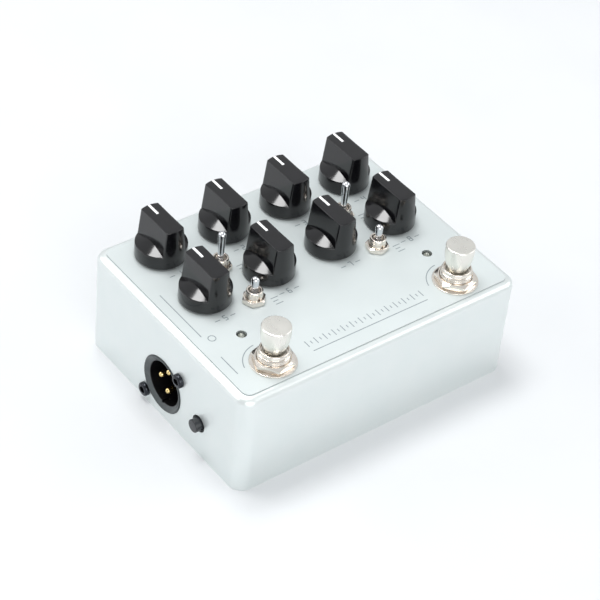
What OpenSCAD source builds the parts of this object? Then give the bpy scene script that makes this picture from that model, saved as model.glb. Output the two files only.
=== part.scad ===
// Bass preamp pedal with a balanced direct output, millimetres, +Z up.
// Origin: centre of the bottom face. +X is the player's right, +Y is the back edge.

/* [Enclosure] */
// Width of the box, left to right
body_w = 125; // [124:0.5:128]
// Depth of the box, front to back
body_d = 96; // [96:0.5:100]
// Height from the bottom face to the top of the faceplate
body_h = 44; // [44:0.5:46]
// Thickness of the side walls
wall_t = 2.4; // [2:0.1:2.6]
// Thickness of the shell's roof
roof_t = 2.5; // [2:0.1:2.8]
// Radius of the four upright corners
corner_r = 5.5; // [4:0.1:7]
// Radius of the rounded top edge
edge_r = 2.9; // [2.4:0.1:3]
// Thickness of the raised faceplate
plate_t = 0.5; // [0.4:0.1:0.8]
// Width of the rim left around the faceplate
plate_inset = 3; // [2.9:0.1:4]
// Thickness of the bottom plate
base_t = 2; // [1.5:0.1:2.2]

/* [Knobs] */
// Spacing of the knob columns and of the two knob rows
knob_pitch = 28.3; // [28:0.1:28.5]
// Distance of the front knob row behind the middle of the box
knob_row_y = 4.5; // [4:0.1:5]
// Outer diameter of a knob at its foot
knob_d = 19.7; // [18.5:0.1:20]
// Height of a knob
knob_h = 16.2; // [16:0.1:17]
// Height of a knob's round foot
knob_foot_h = 5.4; // [5:0.1:6]
// Width of the pointer bar along its top
bar_w = 7.3; // [6.5:0.1:7.6]
// Gap between the faceplate and a knob
knob_gap = 0.8; // [0.6:0.1:1]
// Diameter of a potentiometer shaft
shaft_d = 6; // [5.9:0.05:6]

/* [Toggle switches] */
// Distance of each toggle switch from the middle, left and right
toggle_x = 28.3; // [27.9:0.1:28.6]
// Place of the rear toggle switches behind the middle
toggle_rear_y = 15.3; // [15:0.1:15.8]
// Place of the front toggle switches behind the middle
toggle_front_y = -5.8; // [-6.5:0.1:-5.4]
// Height of the rear lever tips over the faceplate
lever_rear_h = 16.8; // [13:0.1:17]
// Height of the front lever tips over the faceplate
lever_front_h = 11; // [9:0.1:13]

/* [Footswitches] */
// Distance of each footswitch from the middle, left and right
foot_x = 41.5; // [41:0.1:42]
// Place of the footswitches in front of the middle
foot_y = -35.5; // [-35.7:0.1:-35]
// Height of the button tops over the faceplate
foot_h = 16.9; // [16:0.1:17]
// Width of the hexagon nuts across their flats
foot_nut_af = 14; // [14:0.1:14.6]

/* [Sockets] */
// Height of the middle of every socket above the bottom face
socket_z = 15; // [14.8:0.1:15.2]
// Place of the phone socket on the right wall
input_y = -28; // [-28:0.5:-26]
// Place of the phone socket on the back wall
output_x = -22; // [-22:0.5:-20]
// Place of the power inlet on the back wall
power_x = 8; // [6:0.5:12]
// Bore of the phone sockets
phone_bore_d = 6.4; // [6.4:0.05:6.5]
// Place of the push button on the left wall
button_y = -23; // [-24:0.1:-22.5]

/* [Hidden] */
$fn = 64;

// Levels
shell_top = body_h - plate_t;
roof_z = shell_top - roof_t;
inner_x = body_w / 2 - wall_t;
inner_y = body_d / 2 - wall_t;
plate_x = body_w / 2 - plate_inset;
plate_y = body_d / 2 - plate_inset;
plate_corner_r = 3;
hair = 0.1;

// Control board hangs under the roof, the audio board lies over the bottom plate
board_t = 1.6;
control_z = 31.5;
audio_z = 5;
audio_x0 = -35.5;
audio_x1 = 52;
audio_y0 = -40;
audio_y1 = 44;
control_x = 58;
control_y0 = -24;
control_y1 = 38;
capacitor_r = 3.1;
capacitor_h = 11;
chip_w = 6;
chip_l = 10;
chip_h = 2;
header_w = 18;
header_l = 5;
header_h = 6;
ribbon_w = 15;
ribbon_t = 1;

// Screw posts in the corners
post_r = 3.5;
post_x = inner_x - 3.2;
post_y = inner_y - 3.2;
tap_r = 1.3;
tap_depth = 12;
screw_head_r = 2.8;

// Places of the controls
knob_columns = [-1.5, -0.5, 0.5, 1.5] * knob_pitch;
knob_spots = [for (row = [1, 0], x = knob_columns) [x, knob_row_y + row * knob_pitch]];
toggle_spots = [for (y = [toggle_rear_y, toggle_front_y], side = [-1, 1]) [side * toggle_x, y]];
foot_spots = [for (side = [-1, 1]) [side * foot_x, foot_y]];
led_spots = [for (side = [-1, 1]) [side * 42.5, -18.1]];

// Potentiometers
pot_w = 9.6;
pot_l = 10.6;
pot_h = 6.8;
pot_thread_r = 3.5;
pot_top = body_h + 3.4;
washer_t = 0.5;
pot_nut_t = 1.8;
pot_nut_af = 10;
shaft_clear = 0.05;
shaft_low = roof_z - 4.5;
shaft_top = body_h + knob_gap + 12.5;

// Knobs: the foot, the conical shoulder and the pointer bar
knob_z = body_h + knob_gap;
knob_top_r = 9.15;
knob_bar_foot_w = bar_w + 2.4;
knob_shoulder_h = 2.3;
knob_hollow_r = 7.2;
knob_hollow_h = 3.2;

// Toggle switches
toggle_thread_r = 3.15;
toggle_bore_r = 2.3;
toggle_top = body_h + 5.2;
toggle_nut_t = 2;
toggle_nut_af = 8;
toggle_case_w = 6.9;
toggle_case_l = 12.7;
toggle_case_h = 8.5;
pivot_z = body_h + 1.5;
pivot_ball_r = 2.24;
lever_neck_r = 1;
lever_tip_r = 1.5;
trunnion_r = 0.6;
trunnion_reach = 2.75;
keyway_w = 0.8;

// Footswitches
foot_thread_r = 6;
foot_collar_r = 5.45;
foot_step_z = body_h + 5.1;
foot_bush_top = body_h + 6.6;
foot_guide_r = 4.36;
foot_mouth_r = 4.9;
foot_stem_r = 4.3;
foot_cap_r = 5.45;
foot_cap_waist_z = body_h + 7.6;
foot_cap_wide_z = body_h + 14.8;
foot_washer_t = 0.6;
foot_washer_r = 8.6;
foot_nut_t = 2.4;
foot_case_w = 17;
foot_case_l = 16.5;
foot_case_h = 12.5;
foot_stem_low = roof_z - 2.5;
foot_keyway_turn = [-40, -50];

// Indicator lamps
led_r = 1.5;
led_flange_r = 1.8;
led_hole_r = 1.95;

// Balanced output socket
xlr_ring_r = 11.5;
xlr_cavity_r = 8.9;
xlr_proud = 0.4;
xlr_cavity_depth = 14;
xlr_body_w = 25.4;
xlr_pin_circle_r = 4.6;
xlr_pin_r = 1.2;
xlr_screw_offset = 10.2;
xlr_face_x = -body_w / 2 - xlr_proud;
xlr_floor_x = xlr_face_x + xlr_cavity_depth;
xlr_back_x = -39;
xlr_ease = 0.3;
xlr_insert_t = 4.9;
xlr_bevel_r = 10.9;
xlr_bevel_depth = 1.2;
xlr_key_w = 1.2;
xlr_key_l = 4;
xlr_key_depth = 0.5;
xlr_pin_recess = 2.2;

// Polar places of the three contacts, seen from the left: two upright, one to the back
xlr_pin_angles = [0, 90, -90];

// Black cap screws beside the output socket
cap_head_r = 2.75;
cap_head_h = 1.7;
cap_crown = 1;
cap_hex_r = 1.45;
cap_hex_depth = 1.2;
cap_thread_r = 1.25;
cap_reach = 9;

// Side push button
button_r = 2.6;
button_hole_r = 3.5;
button_out = 2.7;
button_z = socket_z - 0.6;
button_ease = 0.25;
button_stem_r = 1.4;
button_case_w = 8;
button_case_l = 14;

// Phone sockets
jack_thread_r = 4.7;
jack_nose_out = 4.5;
jack_body_w = 20;
jack_body_l = 24;
jack_cavity_r = 3.7;
jack_nut_t = 2.2;
jack_nut_af = 12.7;
jack_washer_t = 0.6;
jack_washer_r = 7;

// Power inlet
inlet_w = 9;
inlet_h = 11;
inlet_l = 14;
inlet_nose_r = 4.4;
inlet_bore_r = 3.2;
inlet_pin_r = 1;
inlet_depth = 10;

// Flat slab with rounded corners, half sizes hx and hy, from z0 to z1
module slab(hx, hy, r, z0, z1) {
    translate([0, 0, z0])
        linear_extrude(z1 - z0)
            union() {
                square([2 * hx, 2 * (hy - r)], center = true);
                square([2 * (hx - r), 2 * hy], center = true);
                for (sx = [-1, 1], sy = [-1, 1])
                    translate([sx * (hx - r), sy * (hy - r)])
                        circle(r);
            }
}

// Solid block with rounded uprights and a rounded top edge
module rounded_block() {
    hx = body_w / 2;
    hy = body_d / 2;
    turn_z = shell_top - edge_r;
    slab(hx, hy, corner_r, 0, turn_z);
    slab(hx - edge_r, hy - edge_r, corner_r - edge_r, 0, shell_top);
    for (s = [-1, 1]) {
        translate([0, s * (hy - edge_r), turn_z])
            rotate([0, 90, 0])
                cylinder(r = edge_r, h = 2 * (hx - corner_r), center = true);
        translate([s * (hx - edge_r), 0, turn_z])
            rotate([90, 0, 0])
                cylinder(r = edge_r, h = 2 * (hy - corner_r), center = true);
    }
    for (sx = [-1, 1], sy = [-1, 1])
        translate([sx * (hx - corner_r), sy * (hy - corner_r), turn_z])
            rotate_extrude()
                intersection() {
                    translate([corner_r - edge_r, 0])
                        circle(edge_r);
                    translate([0, -edge_r])
                        square([corner_r, 2 * edge_r]);
                }
}

// Round bar from a to b along Z
module round_z(r, a, b) {
    translate([0, 0, a])
        cylinder(r = r, h = b - a);
}

// Round bar from a to b along X at a given y and z
module round_x(r, a, b, y, z) {
    translate([a, y, z])
        rotate([0, 90, 0])
            cylinder(r = r, h = b - a);
}

// Round bar from a to b along Y at a given x and z
module round_y(r, a, b, x, z) {
    translate([x, b, z])
        rotate([90, 0, 0])
            cylinder(r = r, h = b - a);
}

// Hexagon nut with a round hole, standing on z, with its top corners eased
module hex_nut(af, t, hole_r, z, turn = 0) {
    corner = af / sqrt(3);
    difference() {
        intersection() {
            translate([0, 0, z])
                rotate(turn)
                    cylinder(r = corner, h = t, $fn = 6);
            translate([0, 0, z])
                cylinder(r1 = corner + t, r2 = corner - 0.35, h = t);
        }
        round_z(hole_r, z - 1, z + t + 1);
    }
}

// Ring standing on z
module flat_ring(outer_r, hole_r, z, t) {
    difference() {
        round_z(outer_r, z, z + t);
        round_z(hole_r, z - 1, z + t + 1);
    }
}

// Every opening through the top of the box
module top_openings() {
    for (p = knob_spots)
        translate(p)
            round_z(pot_thread_r + hair, roof_z - 1, body_h + 1);
    for (p = toggle_spots)
        translate(p)
            round_z(toggle_thread_r + hair, roof_z - 1, body_h + 1);
    for (p = foot_spots)
        translate(p)
            round_z(foot_thread_r + hair, roof_z - 1, body_h + 1);
    for (p = led_spots)
        translate(p)
            round_z(led_hole_r, roof_z - 1, body_h + 1);
}

module enclosure_shell() {
    color([0.89, 0.92, 0.92])
        difference() {
            union() {
                difference() {
                    rounded_block();
                    slab(inner_x, inner_y, corner_r - wall_t, -1, roof_z);
                }
                for (sx = [-1, 1], sy = [-1, 1])
                    translate([sx * post_x, sy * post_y])
                        round_z(post_r, base_t, roof_z + 0.5);
            }
            for (sx = [-1, 1], sy = [-1, 1])
                translate([sx * post_x, sy * post_y])
                    round_z(tap_r, 0, base_t + tap_depth);
            top_openings();
            round_x(xlr_ring_r + hair, -body_w / 2 - 1, -inner_x + 1, 0, socket_z);
            for (s = [-1, 1])
                round_x(1.6, -body_w / 2 - 1, -inner_x + 1,
                    s * xlr_screw_offset, socket_z - s * xlr_screw_offset);
            round_x(button_hole_r, -body_w / 2 - 1, -inner_x + 1, button_y, button_z);
            round_x(jack_thread_r + hair, inner_x - 1, body_w / 2 + 1, input_y, socket_z);
            round_y(jack_thread_r + hair, inner_y - 1, body_d / 2 + 1, output_x, socket_z);
            round_y(inlet_nose_r + hair, inner_y - 1, body_d / 2 + 1, power_x, socket_z);
        }
}

module faceplate() {
    color([0.91, 0.94, 0.94])
        difference() {
            slab(plate_x, plate_y, plate_corner_r, shell_top, body_h);
            top_openings();
        }
}

module bottom_plate() {
    color([0.86, 0.88, 0.89])
        difference() {
            slab(inner_x - hair, inner_y - hair, corner_r - wall_t, 0, base_t);
            for (sx = [-1, 1], sy = [-1, 1])
                translate([sx * post_x, sy * post_y]) {
                    round_z(1.7, -1, base_t + 1);
                    translate([0, 0, -0.01])
                        cylinder(r1 = screw_head_r + hair, r2 = 1.7, h = 1.4);
                }
        }
}

module bottom_screws() {
    color([0.3, 0.3, 0.32])
        for (sx = [-1, 1], sy = [-1, 1])
            translate([sx * post_x, sy * post_y])
                difference() {
                    union() {
                        translate([0, 0, 0.05])
                            cylinder(r1 = screw_head_r, r2 = tap_r - 0.05, h = 1.55);
                        round_z(tap_r - 0.05, 1.5, 10);
                    }
                    for (turn = [0, 90])
                        rotate(turn)
                            translate([-1.5, -0.3, -1])
                                cube([3, 0.6, 1.9]);
                }
}

// One knob standing on the origin, its pointer bar along Y
module knob_shape() {
    foot_r = knob_d / 2;
    rim_r = foot_r - 0.1;
    bar_taper = [[-knob_bar_foot_w / 2, knob_foot_h - 1], [knob_bar_foot_w / 2, knob_foot_h - 1],
        [bar_w / 2, knob_h], [-bar_w / 2, knob_h]];
    difference() {
        union() {
            cylinder(r1 = foot_r, r2 = rim_r, h = knob_foot_h);
            translate([0, 0, knob_foot_h])
                cylinder(r1 = rim_r, r2 = 3.6, h = knob_shoulder_h);
            intersection() {
                translate([0, 0, knob_foot_h - 1])
                    cylinder(r1 = rim_r, r2 = knob_top_r, h = knob_h - knob_foot_h + 1);
                translate([0, knob_d, 0])
                    rotate([90, 0, 0])
                        linear_extrude(2 * knob_d)
                            polygon(bar_taper);
            }
        }
        round_z(knob_hollow_r, -1, knob_hollow_h);
        round_z(shaft_d / 2 + 0.02, 0, shaft_top - knob_z + 0.5);
    }
}

module knob(i) {
    color([0.07, 0.07, 0.08])
        translate([knob_spots[i].x, knob_spots[i].y, knob_z])
            knob_shape();
}

module shaft(i) {
    color([0.72, 0.72, 0.74])
        translate(knob_spots[i])
            difference() {
                round_z(shaft_d / 2, shaft_low, shaft_top);
                translate([-0.5, -shaft_d, shaft_top - 6])
                    cube([1, 2 * shaft_d, 7]);
            }
}

module pot_cases() {
    low = roof_z - pot_h;
    color([0.2, 0.35, 0.3])
        for (p = knob_spots)
            translate(p)
                difference() {
                    union() {
                        translate([-pot_w / 2, -pot_l / 2, low])
                            cube([pot_w, pot_l, pot_h]);
                        for (s = [-1, 1])
                            translate([s * (pot_w / 2 - 0.5) - 0.5, -pot_l / 4, control_z])
                                cube([1, pot_l / 2, low - control_z + 0.5]);
                    }
                    round_z(shaft_d / 2 + 0.4, shaft_low - 0.5, roof_z + 1);
                }
}

module pot_bushings() {
    color([0.78, 0.7, 0.45])
        for (p = knob_spots)
            translate(p)
                flat_ring(pot_thread_r, shaft_d / 2 + shaft_clear, roof_z, pot_top - roof_z);
}

module pot_nuts() {
    color([0.8, 0.78, 0.72])
        for (p = knob_spots)
            translate(p)
                hex_nut(pot_nut_af, pot_nut_t, pot_thread_r + 0.05, body_h + washer_t);
}

module pot_washers() {
    color([0.75, 0.75, 0.75])
        for (p = knob_spots)
            translate(p)
                flat_ring(6, pot_thread_r + hair, body_h, washer_t);
}

// Bat lever with a ball pivot on two trunnions and a short tail, straight up
module lever(i, tip_h) {
    tip_z = body_h + tip_h - lever_tip_r;
    color([0.8, 0.8, 0.82])
        translate(toggle_spots[i]) {
            translate([0, 0, pivot_z])
                sphere(pivot_ball_r);
            round_x(trunnion_r, -trunnion_reach, trunnion_reach, 0, pivot_z);
            round_z(lever_neck_r, roof_z - 1, pivot_z);
            translate([0, 0, pivot_z])
                cylinder(r1 = lever_neck_r, r2 = lever_tip_r, h = tip_z - pivot_z);
            translate([0, 0, tip_z])
                sphere(lever_tip_r);
        }
}

module toggle_cases() {
    color([0.16, 0.2, 0.45])
        for (p = toggle_spots)
            translate(p)
                difference() {
                    translate([-toggle_case_w / 2, -toggle_case_l / 2, roof_z - toggle_case_h])
                        cube([toggle_case_w, toggle_case_l, toggle_case_h]);
                    round_z(toggle_bore_r, roof_z - 2.5, roof_z + 1);
                }
}

module toggle_bushings() {
    color([0.83, 0.78, 0.7])
        for (p = toggle_spots)
            translate(p)
                difference() {
                    union() {
                        round_z(toggle_thread_r, roof_z, toggle_top - 0.4);
                        translate([0, 0, toggle_top - 0.4])
                            cylinder(r1 = toggle_thread_r, r2 = toggle_thread_r - 0.3, h = 0.4);
                    }
                    round_z(toggle_bore_r, roof_z - 1, toggle_top + 1);
                    round_x(trunnion_r + shaft_clear, -trunnion_reach - shaft_clear,
                        trunnion_reach + shaft_clear, 0, pivot_z);
                    translate([-keyway_w / 2, -toggle_thread_r - 1, body_h + 0.4])
                        cube([keyway_w, 1.45, 4.2]);
                }
}

module toggle_nuts() {
    color([0.85, 0.8, 0.72])
        for (p = toggle_spots)
            translate(p)
                hex_nut(toggle_nut_af, toggle_nut_t, toggle_thread_r + 0.05, body_h,
                    p.y > 0 ? 20 : p.x < 0 ? 48 : 15);
}

module toggle_terminals() {
    low = roof_z - toggle_case_h;
    color([0.8, 0.8, 0.75])
        for (p = toggle_spots, pin = [-4.7, 0, 4.7])
            translate([p.x - 0.75, p.y + pin - 0.4, control_z])
                cube([1.5, 0.8, low - control_z]);
}

// Barrel-shaped cap on a stem: its radius swells from the stem to the widest point
module foot_button(i) {
    top = body_h + foot_h;
    steps = 10;
    swell = foot_cap_r - foot_stem_r;
    flank = [for (k = [0:steps])
        let (t = k / steps)
            [foot_stem_r + swell * (1 - pow(1 - t, 2)),
                foot_cap_waist_z + t * (foot_cap_wide_z - foot_cap_waist_z)]];
    color([0.86, 0.85, 0.82])
        translate(foot_spots[i])
            rotate_extrude()
                polygon(concat([[0, foot_stem_low], [foot_stem_r, foot_stem_low]], flank,
                    [[foot_cap_r, top - 0.55], [foot_cap_r - 0.15, top - 0.2],
                        [foot_cap_r - 0.5, top], [0, top]]));
}

module foot_cases() {
    color([0.12, 0.25, 0.55])
        for (p = foot_spots)
            translate(p)
                difference() {
                    translate([-foot_case_w / 2, -foot_case_l / 2, roof_z - foot_case_h])
                        cube([foot_case_w, foot_case_l, foot_case_h]);
                    round_z(foot_mouth_r, foot_stem_low - 4, roof_z + 1);
                }
}

module foot_bushings() {
    color([0.87, 0.83, 0.76])
        for (i = [0, 1])
            translate(foot_spots[i])
                difference() {
                    union() {
                        round_z(foot_thread_r, roof_z, foot_step_z);
                        round_z(foot_collar_r, foot_step_z - 1, foot_bush_top - 0.3);
                        translate([0, 0, foot_bush_top - 0.3])
                            cylinder(r1 = foot_collar_r, r2 = foot_collar_r - 0.25, h = 0.3);
                    }
                    round_z(foot_guide_r, roof_z - 1, foot_bush_top + 1);
                    round_z(foot_mouth_r, foot_bush_top - 1.6, foot_bush_top + 1);
                    rotate(foot_keyway_turn[i])
                        translate([foot_thread_r - 0.9, -0.8, body_h + 1])
                            cube([2, 1.6, foot_step_z - body_h]);
                }
}

module foot_nuts() {
    color([0.88, 0.84, 0.77])
        for (i = [0, 1])
            translate(foot_spots[i])
                hex_nut(foot_nut_af, foot_nut_t, foot_thread_r + 0.05, body_h + foot_washer_t,
                    i == 0 ? 8 : 14);
}

module foot_washers() {
    color([0.88, 0.85, 0.79])
        for (p = foot_spots)
            translate(p)
                flat_ring(foot_washer_r, foot_thread_r + hair, body_h, foot_washer_t);
}

module foot_lugs() {
    low = roof_z - foot_case_h;
    color([0.82, 0.8, 0.72])
        for (p = foot_spots, a = [-5, 0, 5], b = [-5, 0, 5])
            translate([p.x + a - 1.2, p.y + b - 0.4, low - 3])
                cube([2.4, 0.8, 3]);
}

module status_leds() {
    color([0.45, 0.45, 0.45, 0.7])
        for (p = led_spots)
            translate(p) {
                round_z(led_r, roof_z - 2, body_h - led_r);
                translate([0, 0, body_h - led_r])
                    sphere(led_r);
                round_z(led_flange_r, roof_z - 2, roof_z - 1);
            }
}

module led_leads() {
    color([0.8, 0.8, 0.8])
        for (p = led_spots, s = [-1, 1])
            translate([p.x + s * 1.27 - 0.25, p.y - 0.25, control_z])
                cube([0.5, 0.5, roof_z - 2 - control_z]);
}

module xlr_housing() {
    hy = xlr_body_w / 2;
    color([0.45, 0.49, 0.49])
        difference() {
            union() {
                round_x(xlr_ring_r - xlr_ease, xlr_face_x, xlr_face_x + xlr_ease, 0, socket_z);
                round_x(xlr_ring_r, xlr_face_x + xlr_ease, -inner_x + 0.5, 0, socket_z);
                translate([-inner_x, -hy, socket_z - hy])
                    cube([xlr_back_x + inner_x, xlr_body_w, xlr_body_w]);
            }
            round_x(xlr_cavity_r, xlr_face_x - 1, xlr_floor_x + xlr_insert_t + hair, 0, socket_z);
            translate([xlr_face_x, 0, socket_z])
                rotate([0, 90, 0])
                    cylinder(r1 = xlr_bevel_r, r2 = xlr_cavity_r, h = xlr_bevel_depth);
            round_x(xlr_bevel_r, xlr_face_x - 1, xlr_face_x, 0, socket_z);
            round_x(xlr_cavity_r - 2, xlr_floor_x, xlr_back_x + 1, 0, socket_z);
            for (s = [-1, 1])
                round_x(1.3, -inner_x - 1, -inner_x + 11,
                    s * xlr_screw_offset, socket_z - s * xlr_screw_offset);
            translate([xlr_face_x - 1, -xlr_key_w / 2, socket_z - xlr_cavity_r - xlr_key_depth])
                cube([xlr_key_l + 1, xlr_key_w, 2 * xlr_key_depth + 1]);
        }
}

module xlr_insert() {
    color([0.06, 0.06, 0.07])
        difference() {
            round_x(xlr_cavity_r - 0.05, xlr_floor_x, xlr_floor_x + xlr_insert_t, 0, socket_z);
            for (a = xlr_pin_angles)
                round_x(xlr_pin_r + 0.02, xlr_floor_x - 1, xlr_floor_x + 6,
                    xlr_pin_circle_r * cos(a), socket_z + xlr_pin_circle_r * sin(a));
        }
}

module xlr_pins() {
    color([0.9, 0.72, 0.35])
        for (a = xlr_pin_angles)
            translate([0, xlr_pin_circle_r * cos(a), socket_z + xlr_pin_circle_r * sin(a)]) {
                translate([xlr_face_x + xlr_pin_recess + xlr_pin_r, 0, 0])
                    sphere(xlr_pin_r);
                round_x(xlr_pin_r, xlr_face_x + xlr_pin_recess + xlr_pin_r, xlr_back_x + 3, 0, 0);
            }
}

// Black cap screws with a hexagon socket
module xlr_screws() {
    face = -body_w / 2;
    color([0.12, 0.12, 0.13])
        for (s = [-1, 1])
            translate([0, s * xlr_screw_offset, socket_z - s * xlr_screw_offset])
                difference() {
                    union() {
                        translate([face - cap_head_h, 0, 0])
                            rotate([0, 90, 0])
                                cylinder(r1 = cap_head_r - cap_crown, r2 = cap_head_r, h = cap_crown);
                        round_x(cap_head_r, face - cap_head_h + cap_crown, face, 0, 0);
                        round_x(cap_thread_r, face - 0.5, -inner_x + cap_reach, 0, 0);
                    }
                    translate([face - cap_head_h - 1, 0, 0])
                        rotate([0, 90, 0])
                            cylinder(r = cap_hex_r, h = cap_hex_depth + 1, $fn = 6);
                }
}

module side_button() {
    face = -body_w / 2;
    color([0.1, 0.1, 0.11])
        translate([0, button_y, button_z]) {
            round_x(button_r - button_ease, face - button_out, face - button_out + button_ease, 0, 0);
            round_x(button_r, face - button_out + button_ease, -inner_x - 0.4, 0, 0);
            round_x(button_stem_r, -inner_x - 0.5, -inner_x + 4, 0, 0);
        }
}

module side_switch_case() {
    h = button_case_w / 2;
    color([0.15, 0.15, 0.16])
        translate([-inner_x, button_y, button_z])
            difference() {
                translate([0, -h, -h])
                    cube([button_case_l, button_case_w, button_case_w]);
                round_x(button_r + 0.3, -1, 3.3, 0, 0);
                round_x(button_stem_r + 0.06, -1, 8, 0, 0);
            }
}

// Body of a phone socket, its mouth at the origin and its length along -X
module jack_body() {
    w = jack_body_w;
    difference() {
        translate([-jack_body_l, -w / 2, -w / 2])
            cube([jack_body_l, w, w]);
        round_x(jack_cavity_r, -jack_body_l + 1.5, 1, 0, 0);
        translate([-jack_body_l + 3, -1.6, 0])
            cube([12, 3.2, w / 2 - 1.5]);
    }
}

module jack_bushing() {
    round_len = jack_nose_out + wall_t;
    difference() {
        round_x(jack_thread_r, 0, round_len, 0, 0);
        round_x(phone_bore_d / 2, -1, round_len + 1, 0, 0);
        translate([round_len - 0.4, 0, 0])
            rotate([0, 90, 0])
                cylinder(r1 = phone_bore_d / 2, r2 = phone_bore_d / 2 + 0.4, h = 0.41);
    }
}

// Puts its children at the right and back phone sockets, mouth plane on the inner wall
module at_jacks() {
    translate([inner_x, input_y, socket_z])
        children();
    translate([output_x, inner_y, socket_z])
        rotate(90)
            children();
}

module input_jack_body() {
    color([0.1, 0.1, 0.1])
        translate([inner_x, input_y, socket_z])
            jack_body();
}

module output_jack_body() {
    color([0.1, 0.1, 0.1])
        translate([output_x, inner_y, socket_z])
            rotate(90)
                jack_body();
}

module jack_bushings() {
    color([0.85, 0.82, 0.76])
        at_jacks()
            jack_bushing();
}

module jack_nuts() {
    color([0.85, 0.83, 0.78])
        at_jacks()
            translate([wall_t, 0, 0])
                rotate([0, 90, 0])
                    hex_nut(jack_nut_af, jack_nut_t, jack_thread_r + 0.05, jack_washer_t);
}

module jack_washers() {
    color([0.84, 0.83, 0.8])
        at_jacks()
            translate([wall_t, 0, 0])
                rotate([0, 90, 0])
                    flat_ring(jack_washer_r, jack_thread_r + hair, 0, jack_washer_t);
}

// Spring contact in the slot over each bore
module jack_contacts() {
    color([0.85, 0.7, 0.4])
        at_jacks()
            translate([-jack_body_l + 4, -1.2, 0]) {
                translate([0, 0, jack_cavity_r + 0.3])
                    cube([9, 2.4, 0.5]);
                translate([0, 0, jack_cavity_r + 0.3])
                    cube([0.5, 2.4, jack_body_w / 2 - 1.5 - jack_cavity_r - 0.3]);
            }
}

module power_inlet_body() {
    mouth = body_d / 2 + 0.3;
    color([0.09, 0.09, 0.1])
        difference() {
            union() {
                translate([power_x - inlet_w / 2, inner_y - inlet_l, socket_z - inlet_h / 2])
                    cube([inlet_w, inlet_l, inlet_h]);
                round_y(inlet_nose_r, inner_y - 0.5, mouth, power_x, socket_z);
            }
            round_y(inlet_bore_r, mouth - inlet_depth, mouth + 1, power_x, socket_z);
        }
}

module power_inlet_pin() {
    mouth = body_d / 2 + 0.3;
    color([0.8, 0.8, 0.8])
        translate([power_x, 0, socket_z]) {
            round_y(inlet_pin_r, mouth - inlet_depth, mouth - 2, 0, 0);
            translate([0, mouth - 2, 0])
                sphere(inlet_pin_r);
        }
}

module control_board() {
    color([0.1, 0.3, 0.2])
        translate([-control_x, control_y0, control_z - board_t])
            cube([2 * control_x, control_y1 - control_y0, board_t]);
}

module audio_board() {
    color([0.1, 0.3, 0.2])
        translate([audio_x0, audio_y0, audio_z - board_t])
            cube([audio_x1 - audio_x0, audio_y1 - audio_y0, board_t]);
}

// Flat ribbon between two box headers, one on each board
module board_ribbon() {
    low = audio_z;
    high = control_z - board_t;
    color([0.6, 0.6, 0.62])
        translate([20, -4, 0]) {
            for (z = [low, high - header_h])
                translate([-header_w / 2, -header_l / 2, z])
                    cube([header_w, header_l, header_h]);
            translate([-ribbon_w / 2, -ribbon_t / 2, low + header_h - 0.5])
                cube([ribbon_w, ribbon_t, high - low - 2 * header_h + 1]);
        }
}

module capacitors() {
    color([0.12, 0.14, 0.3])
        for (x = [-26, -18, 38, 46], y = [-8, 4])
            translate([x, y])
                round_z(capacitor_r, audio_z, audio_z + capacitor_h);
}

module chips() {
    color([0.08, 0.08, 0.09])
        for (x = [-40, -20, 0, 40], y = [10, 28])
            translate([x - chip_w / 2, y - chip_l / 2, control_z - board_t - chip_h])
                cube([chip_w, chip_l, chip_h]);
}

enclosure_shell();
faceplate();
bottom_plate();
bottom_screws();
knob(0);  // knob_rear_1
knob(1);  // knob_rear_2
knob(2);  // knob_rear_3
knob(3);  // knob_rear_4
knob(4);  // knob_front_1
knob(5);  // knob_front_2
knob(6);  // knob_front_3
knob(7);  // knob_front_4
shaft(0);  // shaft_rear_1
shaft(1);  // shaft_rear_2
shaft(2);  // shaft_rear_3
shaft(3);  // shaft_rear_4
shaft(4);  // shaft_front_1
shaft(5);  // shaft_front_2
shaft(6);  // shaft_front_3
shaft(7);  // shaft_front_4
pot_cases();
pot_bushings();
pot_nuts();
pot_washers();
lever(0, lever_rear_h);  // lever_rear_left
lever(1, lever_rear_h);  // lever_rear_right
lever(2, lever_front_h);  // lever_front_left
lever(3, lever_front_h);  // lever_front_right
toggle_cases();
toggle_bushings();
toggle_nuts();
toggle_terminals();
foot_button(0);  // foot_button_left
foot_button(1);  // foot_button_right
foot_cases();
foot_bushings();
foot_nuts();
foot_washers();
foot_lugs();
status_leds();
led_leads();
xlr_housing();
xlr_insert();
xlr_pins();
xlr_screws();
side_button();
side_switch_case();
input_jack_body();
output_jack_body();
jack_bushings();
jack_nuts();
jack_washers();
jack_contacts();
power_inlet_body();
power_inlet_pin();
control_board();
audio_board();
board_ribbon();
capacitors();
chips();
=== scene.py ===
# %% [markdown]
# # A bass preamp pedal with a balanced direct output
#
# The object is a satin silver box that stands on a floor: eight black pointer knobs, four chrome
# toggle levers, two nickel footswitches, a three pin socket and a push button on its left wall.
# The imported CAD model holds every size, so this script first loads it, and then only gives looks:
# finer meshes for the small turned and moulded pieces, materials, a floor, lights and a camera.

# %% Load the frame
import math

import bmesh
import bpy
import numpy as np
from mathutils import Matrix, Vector


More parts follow.
